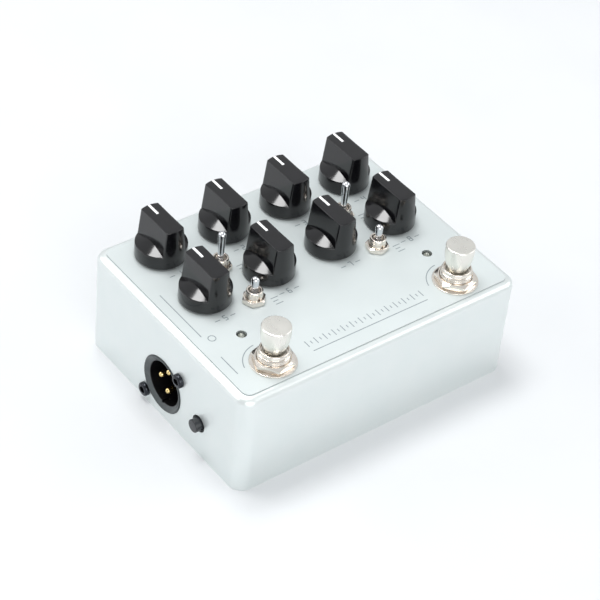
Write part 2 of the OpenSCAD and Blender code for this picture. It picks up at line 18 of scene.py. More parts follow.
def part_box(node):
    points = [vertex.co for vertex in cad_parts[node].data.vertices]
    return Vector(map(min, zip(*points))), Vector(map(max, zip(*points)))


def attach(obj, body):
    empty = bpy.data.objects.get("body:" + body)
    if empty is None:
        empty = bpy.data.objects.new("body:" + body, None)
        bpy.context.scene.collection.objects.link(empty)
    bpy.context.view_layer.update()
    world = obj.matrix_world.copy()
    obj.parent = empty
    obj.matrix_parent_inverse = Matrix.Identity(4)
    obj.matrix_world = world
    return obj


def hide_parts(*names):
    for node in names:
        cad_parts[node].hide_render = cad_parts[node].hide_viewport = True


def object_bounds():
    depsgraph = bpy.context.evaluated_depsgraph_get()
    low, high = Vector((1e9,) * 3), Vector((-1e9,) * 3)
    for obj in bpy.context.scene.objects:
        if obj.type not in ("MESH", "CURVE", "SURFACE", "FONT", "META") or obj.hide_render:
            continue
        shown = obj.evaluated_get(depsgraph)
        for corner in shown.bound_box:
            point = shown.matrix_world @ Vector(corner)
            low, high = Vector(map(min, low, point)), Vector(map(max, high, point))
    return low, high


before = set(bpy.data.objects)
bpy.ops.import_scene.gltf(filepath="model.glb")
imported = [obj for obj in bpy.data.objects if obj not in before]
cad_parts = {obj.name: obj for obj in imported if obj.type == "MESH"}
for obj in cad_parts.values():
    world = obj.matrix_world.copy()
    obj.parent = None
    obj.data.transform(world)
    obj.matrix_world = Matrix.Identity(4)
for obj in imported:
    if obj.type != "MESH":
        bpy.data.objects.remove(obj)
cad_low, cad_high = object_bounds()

print("CAD box in mm", [round(1000 * (b - a), 1) for a, b in zip(cad_low, cad_high)])

# %% [markdown]
# ## Measures
#
# Every place comes from the frame. Small pieces are worked out in millimetres round their own
# centre, because that is how a maker would write them down, and turned into metres at the end.

# %% Measures
MM = 0.001


def centre_mm(node):
    """Middle of a CAD node's box, in millimetres."""
    low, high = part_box(node)
    return np.array((low + high) / 2) / MM


def top_mm(node):
    """Height of a CAD node's highest point, in millimetres."""
    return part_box(node)[1].z / MM


PLATE_Z = top_mm("faceplate")
ROOF_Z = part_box("toggle_bushings")[0].z / MM
LEFT_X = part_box("enclosure_shell")[0].x / MM
SOCKET_Z = centre_mm("xlr_pins")[2]
ROWS = ("rear", "front")
SIDES = ("left", "right")
print("faceplate at", round(PLATE_Z, 2), "mm, roof underside at", round(ROOF_Z, 2), "mm")

# %% [markdown]
# ## Meshes from formulas
#
# Nearly every small piece here is turned on a lathe or moulded in a round mould, so it is a
# profile carried round an axis. A profile could be drawn by hand, or cut out with booleans, which
# leave ragged shading. Working it out as a grid of radii and heights keeps clean rings of faces,
# and lets a hexagon, a thread or a keyway be one more formula on the radius.

# %% Profiles and round surfaces
def eased(corners, steps=5):
    """Outline through corners (u, v, ease). Each corner is a small curve that leaves one side and
    meets the next at the distance ease from the corner: (1-t)^2 A + 2t(1-t) C + t^2 B."""
    corner = np.array([c[:2] for c in corners], float)
    ease = np.array([c[2] if len(c) > 2 else 0 for c in corners], float)[:, None]
    to_last = np.roll(corner, 1, 0) - corner
    to_next = np.roll(corner, -1, 0) - corner
    leave = corner + ease * to_last / np.linalg.norm(to_last, axis=1, keepdims=True)
    meet = corner + ease * to_next / np.linalg.norm(to_next, axis=1, keepdims=True)
    t = np.linspace(0, 1, steps)[None, :, None]
    start, middle, end = leave[:, None], corner[:, None], meet[:, None]
    curve = (1 - t) ** 2 * start + 2 * t * (1 - t) * middle + t**2 * end
    return curve.reshape(-1, 2)


def ring_angles(count):
    """Equal steps once round, without the last one, which is the first again."""
    return np.linspace(0, 2 * np.pi, count, endpoint=False)


def carried_round(radius, height, angle):
    """Grid of points x = r cos a, y = r sin a, z = h. Radius and height hold one row for each step
    along the profile and one column for each angle; a row of one value is the same all round."""
    radius, height, angle = np.broadcast_arrays(radius, height, angle)
    return np.stack([radius * np.cos(angle), radius * np.sin(angle), height], -1)


def turned(profile, count=96):
    """A profile of (radius, height) points turned once round Z."""
    return carried_round(profile[:, :1], profile[:, 1:], ring_angles(count)[None])


def grid_faces(rows, columns, closed_rows):
    """Four-sided faces between a grid's neighbours. The last column joins the first, and with
    closed rows so does the last row."""
    row = np.arange(rows if closed_rows else rows - 1)[:, None]
    column = np.arange(columns)[None]
    next_row = (row + 1) % rows
    next_column = (column + 1) % columns
    corners = [(row, column), (row, next_column), (next_row, next_column), (next_row, column)]
    return np.stack([r * columns + c for r, c in corners], -1).reshape(-1, 4)


def capped(points):
    """Closes the open ends of a tube: one more row at each end, all of it at that end's middle."""
    first, last = (np.broadcast_to(end.mean(1, keepdims=True), end.shape)
                   for end in (points[:1], points[-1:]))
    return np.concatenate([first, points, last])


def facing(direction):
    """Turns a piece made along +Z so that its +Z points up, or out of the left wall."""
    turns = {"+z": Matrix.Identity(3), "-x": Matrix.Rotation(-math.pi / 2, 3, "Y")}
    return np.array(turns[direction])


# %% [markdown]
# A piece may be several identical solids, such as four nuts, so one function collects grids,
# welds their poles and seams, turns their faces outwards, gives the mesh its material and makes it
# ride on its CAD body in place of the plain nodes that it stands for.

# %% One function makes every new piece
def weld(points, closed_rows):
    """A grid of points as a closed mesh with its doubles at poles merged and its faces outward.
    Seams and poles are closed."""
    rows, columns = points.shape[:2]
    shape = bmesh.new()
    mesh = bpy.data.meshes.new("part")
    faces = grid_faces(rows, columns, closed_rows)
    mesh.from_pydata(points.reshape(-1, 3).tolist(), [], faces.tolist())
    shape.from_mesh(mesh)
    bpy.data.meshes.remove(mesh)
    bmesh.ops.remove_doubles(shape, verts=shape.verts, dist=1e-4)
    bmesh.ops.dissolve_degenerate(shape, edges=shape.edges, dist=1e-5)
    bmesh.ops.recalc_face_normals(shape, faces=shape.faces)
    return shape


def make_piece(name, grids, places, material, body="case", stands_for=(),
               direction="+z", closed_rows=True, crease=32):
    """Builds one object from grids in millimetres, each put at its place, riding on its body.
    Edges sharper than the crease angle, in degrees, stay sharp and the rest are shaded smooth."""
    whole = bmesh.new()
    turn = facing(direction)
    for points, place in zip(grids, places):
        shape = weld(points @ turn.T + np.array(place), closed_rows)
        part = bpy.data.meshes.new("part")
        shape.to_mesh(part)
        whole.from_mesh(part)
        shape.free()
        bpy.data.meshes.remove(part)
    bmesh.ops.scale(whole, vec=(MM, MM, MM), verts=whole.verts)
    mesh = bpy.data.meshes.new(name)
    whole.to_mesh(mesh)
    whole.free()
    mesh.polygons.foreach_set("use_smooth", np.ones(len(mesh.polygons), bool))
    mesh.set_sharp_from_angle(angle=math.radians(crease))
    mesh.materials.append(material)
    piece = bpy.data.objects.new(name, mesh)
    bpy.context.scene.collection.objects.link(piece)
    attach(piece, body)
    if stands_for:
        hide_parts(*stands_for)
    print(f"{name}: {len(mesh.polygons)} faces on {body}")


# %% [markdown]
# ## Materials
#
# Each finish starts from what the real one is and how its surface was made. Colours are written as
# the hex values that a colour picker shows, and one function turns them into the linear values
# that the renderer works with. Grain and patches are worked out from real sizes: a noise
# texture of scale s on coordinates in metres repeats about every 1/s metres.

# %% Colours and nodes
def colour(hex_value):
    """sRGB hex to linear RGBA: v/12.92 below 0.04045, else ((v+0.055)/1.055)^2.4."""
    value = np.array([int(hex_value[i:i + 2], 16) for i in (1, 3, 5)]) / 255
    linear = np.where(value <= 0.04045, value / 12.92, ((value + 0.055) / 1.055) ** 2.4)
    return (*linear.tolist(), 1.0)


def per_mm(size):
    """Texture scale whose cells are about this many millimetres across."""
    return 1 / (size * MM)


def add_node(tree, kind, inputs=None, **settings):
    """Adds one node. Settings are its own properties; inputs are values or other nodes' outputs."""
    made = tree.nodes.new(kind)
    for key, value in settings.items():
        setattr(made, key, value)
    for socket, value in (inputs or {}).items():
        if isinstance(value, bpy.types.NodeSocket):
            tree.links.new(value, made.inputs[socket])
        else:
            made.inputs[socket].default_value = value
    return made


def start_material(name, **sockets):
    """A material with a Principled shader whose constant values sit on its own sockets."""
    material = bpy.data.materials.new(name)
    material.use_nodes = True
    tree = material.node_tree
    shader = tree.nodes["Principled BSDF"]
    for socket, value in sockets.items():
        shader.inputs[socket.replace("_", " ")].default_value = value
    place = add_node(tree, "ShaderNodeTexCoord").outputs["Object"]
    return material, tree, shader, place


def vary(tree, shader, place, shades, cell, rough, grain, depth, stretch=(1, 1, 1)):
    """The detail that most finishes share. Patches of the cell size, in mm, mix two shades and
    move the roughness between two values; grain of its own size in mm raises the surface by depth."""
    stretched = add_node(tree, "ShaderNodeMapping", {"Vector": place, "Scale": stretch})
    patches = add_node(tree, "ShaderNodeTexNoise", {
        "Vector": stretched.outputs["Vector"], "Scale": per_mm(cell), "Detail": 3})
    mix = add_node(tree, "ShaderNodeValToRGB", {"Fac": patches.outputs["Fac"]})
    mix.color_ramp.elements[0].position = 0.35
    mix.color_ramp.elements[0].color = colour(shades[0])
    mix.color_ramp.elements[1].position = 0.65
    mix.color_ramp.elements[1].color = colour(shades[1])
    tree.links.new(mix.outputs["Color"], shader.inputs["Base Color"])
    polish = add_node(tree, "ShaderNodeMapRange", {
        "Value": patches.outputs["Fac"], "From Min": 0.3, "From Max": 0.7,
        "To Min": rough[0], "To Max": rough[1]})
    tree.links.new(polish.outputs["Result"], shader.inputs["Roughness"])
    bumps = add_node(tree, "ShaderNodeTexNoise", {
        "Vector": stretched.outputs["Vector"], "Scale": per_mm(grain), "Detail": 2})
    raised = add_node(tree, "ShaderNodeBump", {
        "Height": bumps.outputs["Fac"], "Distance": depth * MM, "Strength": 1.0})
    tree.links.new(raised.outputs["Normal"], shader.inputs["Normal"])


print("middle grey #808080 is", round(colour("#808080")[0], 3), "in linear values")

# %% [markdown]
# The box is cast aluminium, blasted with fine beads and covered with a clear satin lacquer. Blasting
# leaves dimples of about 0.1 mm, which spread every highlight, so the metal looks white and soft.
# The real dimples are too fine to show from where this is seen, so the grain is drawn at 0.35 mm.
# The faceplate is a rolled sheet under a matt lacquer. It spreads light wider than the shell does,
# so it keeps one even shade all over, and only its sides are darker, as painted shade at its edge.

# %% Silver finishes
def base_colour(shader):
    """The output that gives a shader its colour so far."""
    return shader.inputs["Base Color"].links[0].from_socket


def mix_colours(tree, shader, factor, low, high):
    """Gives a shader a mix of two colours: the low one at factor 0, the high one at 1."""
    mixed = add_node(tree, "ShaderNodeMix", {0: factor, 6: low, 7: high}, data_type="RGBA")
    tree.links.new(mixed.outputs[2], shader.inputs["Base Color"])


def blasted_aluminium():
    """Cast, bead-blasted and lacquered: a wide soft highlight with a fine even grain."""
    material, tree, shader, place = start_material("blasted_aluminium_satin_lacquer", Metallic=0.75)
    vary(tree, shader, place, ("#e0e6e5", "#e2e7e6"), 9, (0.35, 0.38), 0.35, 0.005)
    return material


def lacquered_plate():
    """Rolled sheet under matt lacquer: rougher and less metallic than the shell. How far a face
    looks up, its normal's Z, picks the lacquered top or the sides' darker colour, a painted shade."""
    material, tree, shader, place = start_material("rolled_aluminium_satin_lacquer", Metallic=0.35)
    vary(tree, shader, place, ("#c7cece", "#c9d0d0"), 14, (0.56, 0.59), 0.25, 0.004)
    normal = add_node(tree, "ShaderNodeTexCoord").outputs["Normal"]
    upward = add_node(tree, "ShaderNodeSeparateXYZ", {"Vector": normal}).outputs["Z"]
    top = add_node(tree, "ShaderNodeMapRange", {"Value": upward, "From Min": 0.3, "From Max": 0.6})
    # The sides' darker #aab1b2 is painted shade: the dark line along the plate's edge.
    mix_colours(tree, shader, top.outputs["Result"], colour("#aab1b2"), base_colour(shader))
    return material


def sheet_underside():
    """Folded sheet for the bottom plate: rolled metal with long faint streaks along X."""
    material, tree, shader, place = start_material("rolled_aluminium_mill_finish", Metallic=1.0)
    vary(tree, shader, place, ("#c9cdce", "#d6dadb"), 1.2, (0.30, 0.42), 0.3, 0.004, (0.04, 1, 1))
    return material


SILVER_SHELL = blasted_aluminium()
SILVER_PLATE = lacquered_plate()
BASE_SHEET = sheet_underside()
print("silver finishes", SILVER_SHELL.name, SILVER_PLATE.name, BASE_SHEET.name)

# %% [markdown]
# Knobs are moulded from black phenolic resin in a polished mould, so they are glossy and deep,
# with the very slight waviness that shrinking leaves. Socket and button bodies are moulded nylon
# and ABS with a fine matt texture from an etched mould.

# %% Moulded finishes
def polished_phenolic():
    """Black resin from a polished mould: an IOR of 1.54 and a sharp highlight on slow waves."""
    material, tree, shader, place = start_material("phenolic_resin_polished_mould", IOR=1.54)
    vary(tree, shader, place, ("#0a0a0c", "#0e0e11"), 4, (0.11, 0.15), 3.0, 0.010)
    return material


def etched_moulding(name, dark, light, rough=(0.38, 0.5)):
    """Plastic from an etched mould: matt, with a grain of 0.2 mm and an IOR of 1.5."""
    material, tree, shader, place = start_material(name, IOR=1.5)
    vary(tree, shader, place, (dark, light), 2, rough, 0.2, 0.01)
    return material


BLACK_KNOB = polished_phenolic()
BLACK_MOULDING = etched_moulding("nylon_black_etched_mould", "#0d0d0f", "#151518")
BUTTON_BLACK = etched_moulding("abs_black_satin_mould", "#1e2023", "#26282c", (0.25, 0.34))
GREEN_MOULDING = etched_moulding("phenolic_green_moulded", "#24493f", "#2d574b")
BLUE_MOULDING = etched_moulding("diallyl_phthalate_blue_moulded", "#1d3568", "#254079")
BLACK_CHIP = etched_moulding("epoxy_black_moulded", "#141416", "#1c1c1f")
SOCKET_GREY = etched_moulding("nylon_grey_satin_mould", "#414748", "#4b5152", (0.28, 0.36))


def shade_socket_inside(material, rim_x):
    """Painted shade inside a socket in the left wall: black everywhere that x is over the rim's own x.
    """
    tree = material.node_tree
    shader = tree.nodes["Principled BSDF"]
    place = add_node(tree, "ShaderNodeTexCoord").outputs["Object"]
    split = add_node(tree, "ShaderNodeSeparateXYZ", {"Vector": place})
    inside = add_node(tree, "ShaderNodeMath", {0: split.outputs["X"], 1: rim_x * MM},
                      operation="GREATER_THAN")
    # The black inside the socket is painted shade on its inner walls.
    mix_colours(tree, shader, inside.outputs["Value"], base_colour(shader), colour("#09090b"))


SOCKET_RIM_DEPTH = 1.1
# Beyond the rim, the socket gets painted shade in black.
shade_socket_inside(SOCKET_GREY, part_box("xlr_housing")[0].x / MM + SOCKET_RIM_DEPTH)
PRINT_INK = etched_moulding("epoxy_ink_grey_screen_print", "#7f898d", "#899397", (0.45, 0.55))
POINTER_PAINT = etched_moulding("enamel_white_filled_line", "#eef0f0", "#f7f8f8", (0.3, 0.4))
print("moulded finishes made")

# %% [markdown]
# Levers are steel with bright chrome plating. Bushings, nuts and washers are brass with nickel
# plating, which is a warmer white than chrome. The footswitch caps are the same nickel over a
# surface brushed along the cap's height, so their highlight is drawn out. Turned pieces carry fine
# marks from the tool, which are drawn as a faint grain.

# %% Plated finishes
def plated(name, dark, light, rough, cell=3, grain=0.4, depth=0.004, stretch=(1, 1, 1)):
    """Plated metal: patches of slightly different polish, and fine marks of the given grain."""
    material, tree, shader, place = start_material(name, Metallic=1.0)
    vary(tree, shader, place, (dark, light), cell, rough, grain, depth, stretch)
    return material


CHROME = plated("steel_bright_chrome", "#d3d5d9", "#dfe1e4", (0.05, 0.09), depth=0.001)
NICKEL = plated("brass_nickel_plated_turned", "#e8e1d8", "#f0e9e0", (0.13, 0.22), depth=0.003)
NICKEL_CAP = plated("brass_nickel_plated_satin", "#eae8e1", "#eeece5", (0.26, 0.30), cell=5,
                    grain=0.12, depth=0.0012, stretch=(1, 1, 0.15))
STEEL = plated("steel_zinc_plated", "#b9bbbd", "#c9cbcd", (0.25, 0.36))
BRASS = plated("brass_turned", "#bf9f5c", "#cdb06e", (0.22, 0.32))
GOLD = plated("brass_gold_plated", "#e8cd8c", "#f0d99e", (0.16, 0.24))
TIN = plated("copper_tin_dipped", "#c2c1b6", "#d2d1c8", (0.28, 0.42))
BLACK_SCREW = plated("steel_black_oxide", "#303236", "#3c3e42", (0.18, 0.26), cell=1)
print("plated finishes made")

# %% [markdown]
# The lamps are clear epoxy over a bright metal cup. Boards are glass epoxy under green solder
# resist, the ribbon is grey vinyl, and capacitors wear a dark blue vinyl sleeve.

# %% Clear and inner finishes
def clear_epoxy():
    """Water-clear cast epoxy: an IOR of 1.52, and light goes through it."""
    material, tree, shader, place = start_material(
        "epoxy_water_clear_cast", IOR=1.52, Transmission_Weight=1.0)
    vary(tree, shader, place, ("#e9efef", "#f4f8f8"), 2, (0.02, 0.06), 1.5, 0.005)
    return material


LENS = clear_epoxy()
BOARD = etched_moulding("glass_epoxy_green_resist", "#0f4a31", "#17573b", (0.25, 0.35))
RIBBON = etched_moulding("vinyl_grey_extruded", "#8e9093", "#9b9da0")
SLEEVE = etched_moulding("vinyl_blue_shrunk_sleeve", "#1a2048", "#232a58", (0.25, 0.35))
print("clear and inner finishes made")

# %% [markdown]
# ## Pieces that keep their CAD shape
#
# The shell, the plates, the sockets and everything inside already have their true shape, so they
# only take a material. A list of finishes, each with its nodes, keeps that to one loop. It has the
# nodes that finer pieces replace later on too, so that none is left bare.

# %% Materials on CAD nodes
CAD_FINISHES = [
    (SILVER_SHELL, ["enclosure_shell"]),
    (SILVER_PLATE, ["faceplate"]),
    (BASE_SHEET, ["bottom_plate"]),
    (BLACK_SCREW, ["bottom_screws", "xlr_screws"]),
    (STEEL, [f"shaft_{row}_{i}" for row in ROWS for i in range(1, 5)] + ["pot_washers"]),
    (NICKEL, ["pot_nuts", "toggle_bushings", "toggle_nuts", "foot_bushings", "foot_nuts",
              "foot_washers", "jack_bushings", "jack_nuts", "jack_washers"]),
    (BRASS, ["pot_bushings", "jack_contacts"]),
    (GOLD, ["xlr_pins"]),
    (TIN, ["toggle_terminals", "foot_lugs", "led_leads", "power_inlet_pin"]),
    (CHROME, [f"lever_{row}_{side}" for row in ROWS for side in SIDES]),
    (NICKEL_CAP, [f"foot_button_{side}" for side in SIDES]),
    (LENS, ["status_leds"]),
    (SOCKET_GREY, ["xlr_housing"]),
    (BLACK_MOULDING, ["xlr_insert", "side_switch_case", "input_jack_body", "output_jack_body",
                      "power_inlet_body"]),
    (BUTTON_BLACK, ["side_button"]),
    (BLACK_KNOB, [f"knob_{row}_{i}" for row in ROWS for i in range(1, 5)]),
    (GREEN_MOULDING, ["pot_cases"]),
    (BLUE_MOULDING, ["toggle_cases", "foot_cases"]),
    (BOARD, ["control_board", "audio_board"]),
    (RIBBON, ["board_ribbon"]),
    (SLEEVE, ["capacitors"]),
    (BLACK_CHIP, ["chips"]),
]
for finish, names in CAD_FINISHES:
    for name in names:
        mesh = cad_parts[name].data
        mesh.materials.clear()
        mesh.materials.append(finish)
dressed = {name for _, names in CAD_FINISHES for name in names}
print("CAD nodes without a finish:", sorted(set(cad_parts) - dressed))

# %% [markdown]
# ## Pointer knobs
#
# A pointer knob is moulded in one shot: a round foot, a low cone on it, and across the cone a bar
# that carries the pointer line. Built from a cylinder, a cone and a box it would need booleans, and
# every edge would be razor sharp. Here one formula gives the whole skin. Seen from above, the bar's
# outline is the smaller of two radii at each angle: the knob's circle, and the straight flank,
# whose radius is its half width over the cosine. A soft minimum rounds the corner between them.

# %% Knob skin
KNOB_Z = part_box("knob_front_1")[0].z / MM
KNOB_HEIGHT = top_mm("knob_front_1") - KNOB_Z
KNOB_FOOT_R = (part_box("knob_front_1")[1].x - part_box("knob_front_1")[0].x) / MM / 2
KNOB_RIM_R = KNOB_FOOT_R - 0.1
KNOB_RIM_Z = 5.4
KNOB_TOP_R = 9.15
KNOB_EDGE = 0.35
SHAFT_BORE_R = 3.05
SHAFT_BORE_TOP = 12.9
HOLLOW_R = 7.2
HOLLOW_TOP = 3.2
BAR_HALF_TOP = 3.65
BAR_HALF_FOOT = 4.85
CONE_RISE = 2.3 / 6.15  # millimetres up for each millimetre inwards
LINE_WIDTH = 1.0
LINE_LENGTH = 6.2
LINE_DEPTH = 0.03


def knob_angles():
    """Two-degree steps, with quarter-degree steps where the bar's corners lie, 57 to 70 degrees."""
    corner = np.radians(np.arange(57, 70, 0.25))
    all_round = np.radians(np.arange(0, 360, 2.0))
    corners = np.concatenate([corner, np.pi - corner, np.pi + corner, 2 * np.pi - corner])
    return np.unique(np.round(np.concatenate([all_round, corners]), 6))


def bar_outline(height, angle, sharpness=70):
    """Soft minimum of the circle's radius and the flank's radius, both narrowing with height."""
    share = np.clip((height - KNOB_RIM_Z) / (KNOB_HEIGHT - KNOB_RIM_Z), 0, 1)
    circle = KNOB_RIM_R + share * (KNOB_TOP_R - KNOB_RIM_R)
    flank = BAR_HALF_FOOT + share * (BAR_HALF_TOP - BAR_HALF_FOOT)
    straight = flank / np.maximum(np.abs(np.cos(angle)), 0.05)
    return (circle**-sharpness + straight**-sharpness) ** (-1 / sharpness)


def knob_grid():
    """Rows run from the shaft bore through the hollow foot, up the outside, over the cone to the
    bar's flank, up the flank, over an eased edge and in to the middle of the top."""
    angle = knob_angles()[None]
    skirt = eased([(0, SHAFT_BORE_TOP), (SHAFT_BORE_R, SHAFT_BORE_TOP), (SHAFT_BORE_R, HOLLOW_TOP),
                   (HOLLOW_R, HOLLOW_TOP), (HOLLOW_R, 0), (KNOB_FOOT_R, 0, 0.2),
                   (KNOB_RIM_R, KNOB_RIM_Z, 0.25), (KNOB_RIM_R - 1, KNOB_RIM_Z + CONE_RISE)])[2:-5]
    rim_r, rim_z = skirt[-1]
    skirt_r, skirt_z = skirt[:, :1], skirt[:, 1:]
    on_rim = (skirt_r > rim_r - 0.1) & (skirt_z > KNOB_RIM_Z - 0.3)
    outer_r = np.where(on_rim, np.maximum(skirt_r, bar_outline(skirt_z, angle)), skirt_r)
    wall_z = np.full(angle.shape, KNOB_RIM_Z + 1.0)
    for _ in range(6):
        wall_r = bar_outline(wall_z, angle)
        wall_z = np.maximum(KNOB_RIM_Z + CONE_RISE * (KNOB_RIM_R - wall_r), rim_z)
    along = np.linspace(0, 1, 8)[1:, None]
    start_r = np.maximum(rim_r, wall_r)
    cone_r = start_r + along * (wall_r - start_r)
    cone_z = np.maximum(KNOB_RIM_Z + CONE_RISE * (KNOB_RIM_R - cone_r), rim_z)
    top = KNOB_HEIGHT - LINE_DEPTH
    flank_top = top - KNOB_EDGE
    rise = np.linspace(0, 1, 7)[1:, None]
    flank_z = wall_z + rise * (flank_top - wall_z)
    flank_r = bar_outline(flank_z, angle)
    bend = np.radians(np.linspace(0, 90, 6))[1:, None]
    shoulder_r = bar_outline(flank_top, angle) - KNOB_EDGE * (1 - np.cos(bend))
    shoulder_z = flank_top + KNOB_EDGE * np.sin(bend)
    inward = np.linspace(1, 0, 5)[1:, None]
    top_r = shoulder_r[-1:] * inward
    radius = [outer_r, cone_r, flank_r, shoulder_r, top_r]
    height = [np.broadcast_to(skirt_z, outer_r.shape), cone_z, flank_z,
              np.broadcast_to(shoulder_z, shoulder_r.shape), np.full(top_r.shape, top)]
    return carried_round(np.concatenate(radius), np.concatenate(height), angle)


def pointer_line_grid():
    """A thin slab let into the bar's top, from the back edge towards the middle. Its far end
    follows the knob's circle: y = sqrt(R^2 - x^2)."""
    across = np.linspace(-1, 1, 7)[None] * LINE_WIDTH / 2
    along = np.linspace(0, 1, 10)[:, None]
    far = np.sqrt((KNOB_TOP_R - 0.3) ** 2 - across**2)
    near = KNOB_TOP_R - LINE_LENGTH
    y = near + along * (far - near)
    x = np.broadcast_to(across, y.shape)
    high = np.stack([x, y, np.full(y.shape, KNOB_HEIGHT)], -1)
    low = np.stack([x, y, np.full(y.shape, KNOB_HEIGHT - 3 * LINE_DEPTH)], -1)
    return capped(np.concatenate([high, low[:, ::-1]], 1))


knob_shape = knob_grid()
for row in ROWS:
    for i in range(1, 5):
        node = f"knob_{row}_{i}"
        spot = centre_mm(node)
        place = (spot[0], spot[1], KNOB_Z)
        body = f"control_{row}_{i}"
        make_piece(f"{node}_moulding", [knob_shape], [place], BLACK_KNOB, body, [node],
                   closed_rows=False, crease=28)
        make_piece(f"{node}_pointer_line", [pointer_line_grid()], [place], POINTER_PAINT, body,
                   closed_rows=False)

# %% [markdown]
# ## Toggle switches
#
# A bat lever is turned from one bar: a ball to pivot on, a thin neck and a body that widens to a
# dome. Its bushing is a threaded tube with a keyway down the front, held by a hexagon nut. The
# thread is drawn as a real helix, because its light and dark lines are what says "thread": the
# radius falls and rises once per pitch, and starts a little higher at each angle.

# %% Threads, keyways and nuts
THREAD_PITCH = 0.75
NUT_PLAY = 0.05


def threaded(height, angle, depth, low, high):
    """How far a thread cuts in: depth times (1 + cos(2 pi z / pitch - angle)) / 2, faded out over
    half a pitch at both ends."""
    wave = (1 + np.cos(2 * np.pi * height / THREAD_PITCH - angle)) / 2
    fade = np.clip(np.minimum(height - low, high - height) / (THREAD_PITCH / 2), 0, 1)
    return depth * wave * fade


def keyway(angle, middle, width, radius, depth):
    """How far a keyway cuts in: the whole depth within half the width of its middle angle, with
    sides as steep as the grid allows."""
    away = np.abs((angle - middle + np.pi) % (2 * np.pi) - np.pi) * radius
    return depth * np.clip((width / 2 - away) / 0.12 + 0.5, 0, 1)


def nut_grid(flats, thick, bore, turn, count=144):
    """A hexagon nut: its radius is half the width over flats divided by the cosine of the angle
    from the nearest flat's middle, and a 30 degree cone takes its corners off above and below."""
    angle = ring_angles(count)[None]
    from_flat = (angle + np.pi / 6) % (np.pi / 3) - np.pi / 6
    side = np.minimum(flats / 2 / np.cos(from_flat), 0.985 * flats / math.sqrt(3))
    land = 0.95 * flats / 2
    drop = np.maximum(side - land, 0) * math.tan(math.radians(30))
    rows = [(bore, thick - 0.2), (bore + 0.2, thick), (land, thick), (side, thick - drop),
            (side, drop), (land, 0), (bore, 0)]
    radius = np.concatenate([np.broadcast_to(r, angle.shape) for r, _ in rows])
    height = np.concatenate([np.broadcast_to(h, angle.shape) for _, h in rows])
    return carried_round(radius, height, angle + turn)


def washer_grid(outer, bore, thick):
    """A flat ring whose outer edges are eased by 0.12 mm."""
    return turned(eased([(bore, 0), (outer, 0, 0.12), (outer, thick, 0.12), (bore, thick)]))


print("threads repeat every", THREAD_PITCH, "mm, and nuts have", NUT_PLAY, "mm of play")

# %% [markdown]
# The lever pivots on its ball inside the bushing, so the neck above the ball is thin enough to tilt
# forward and back without touching the mouth. A subdivided cylinder would bulge where it narrows.
# A lathe profile keeps the ball truly round, and the ball has to be round to turn in its seat.

# %% Toggle levers
PIVOT_Z = PLATE_Z + 1.5
BALL_R = 2.24
NECK_R = 1.0
LEVER_TIP_R = 1.5


def lever_grid(tip):
    """Tail, ball r = R cos t, neck and taper, and a dome r = R cos t on top."""
    swing = np.radians(np.linspace(-63, 62, 16))
    ball = np.stack([BALL_R * np.cos(swing), PIVOT_Z + BALL_R * np.sin(swing)], 1)
    rise = np.linspace(0, 1, 12)
    taper_low, taper_high = PIVOT_Z + BALL_R, tip - LEVER_TIP_R
    taper = np.stack([NECK_R + 0.12 + rise * (LEVER_TIP_R - NECK_R - 0.12),
                      taper_low + rise * (taper_high - taper_low)], 1)
    over = np.radians(np.linspace(0, 90, 12))[1:]
    dome = np.stack([LEVER_TIP_R * np.cos(over), taper_high + LEVER_TIP_R * np.sin(over)], 1)
    tail = np.array([(0, ROOF_Z - 1), (NECK_R, ROOF_Z - 1)])
    return turned(np.concatenate([tail, ball, taper, dome]), 64)


toggle_spots = {}
for row in ROWS:
    for side in SIDES:
        node = f"lever_{row}_{side}"
        spot = centre_mm(node)
        toggle_spots[row, side] = (spot[0], spot[1])
        make_piece(f"{node}_turned", [lever_grid(top_mm(node))], [(spot[0], spot[1], 0)], CHROME,
                   f"toggle_{row}_{side}", [node], closed_rows=False)

# %% [markdown]
# The bushing is threaded over its whole length, and the nut clamps it to the plate. A nut stops at
# any angle when it is tightened, so the nuts here don't all face the same way.

# %% Toggle bushings and nuts
TOGGLE_R = 3.15
TOGGLE_BORE = 2.3
TOGGLE_TOP = top_mm("toggle_bushings")
TOGGLE_THREAD_TOP = TOGGLE_TOP - 0.35
TOGGLE_NUT_FLATS = 8
TOGGLE_NUT_T = top_mm("toggle_nuts") - PLATE_Z
TOGGLE_NUT_TURNS = {("rear", "left"): 50, ("rear", "right"): 50,
                    ("front", "left"): 78, ("front", "right"): 45}


def toggle_bushing_grid():
    """A tube whose outside carries a 0.75 mm thread, with an eased mouth and a keyway in front."""
    angle = ring_angles(144)[None]
    height = np.linspace(ROOF_Z, TOGGLE_THREAD_TOP, 64)[:, None]
    cut = threaded(height, angle, 0.11, ROOF_Z, TOGGLE_TOP - 0.5)
    notch = keyway(angle, -np.pi / 2, 0.8, TOGGLE_R, 0.45) * (height > PLATE_Z + 0.3)
    outside = TOGGLE_R - np.maximum(cut, notch)
    mouth = eased([(TOGGLE_R, TOGGLE_THREAD_TOP, 0.1), (TOGGLE_R - 0.3, TOGGLE_TOP, 0.1),
                   (TOGGLE_BORE, TOGGLE_TOP, 0.15), (TOGGLE_BORE, ROOF_Z)])[5:]
    radius = [outside, np.broadcast_to(mouth[:, :1], (len(mouth), angle.size))]
    heights = [np.broadcast_to(height, outside.shape),
               np.broadcast_to(mouth[:, 1:], (len(mouth), angle.size))]
    return carried_round(np.concatenate(radius), np.concatenate(heights), angle)


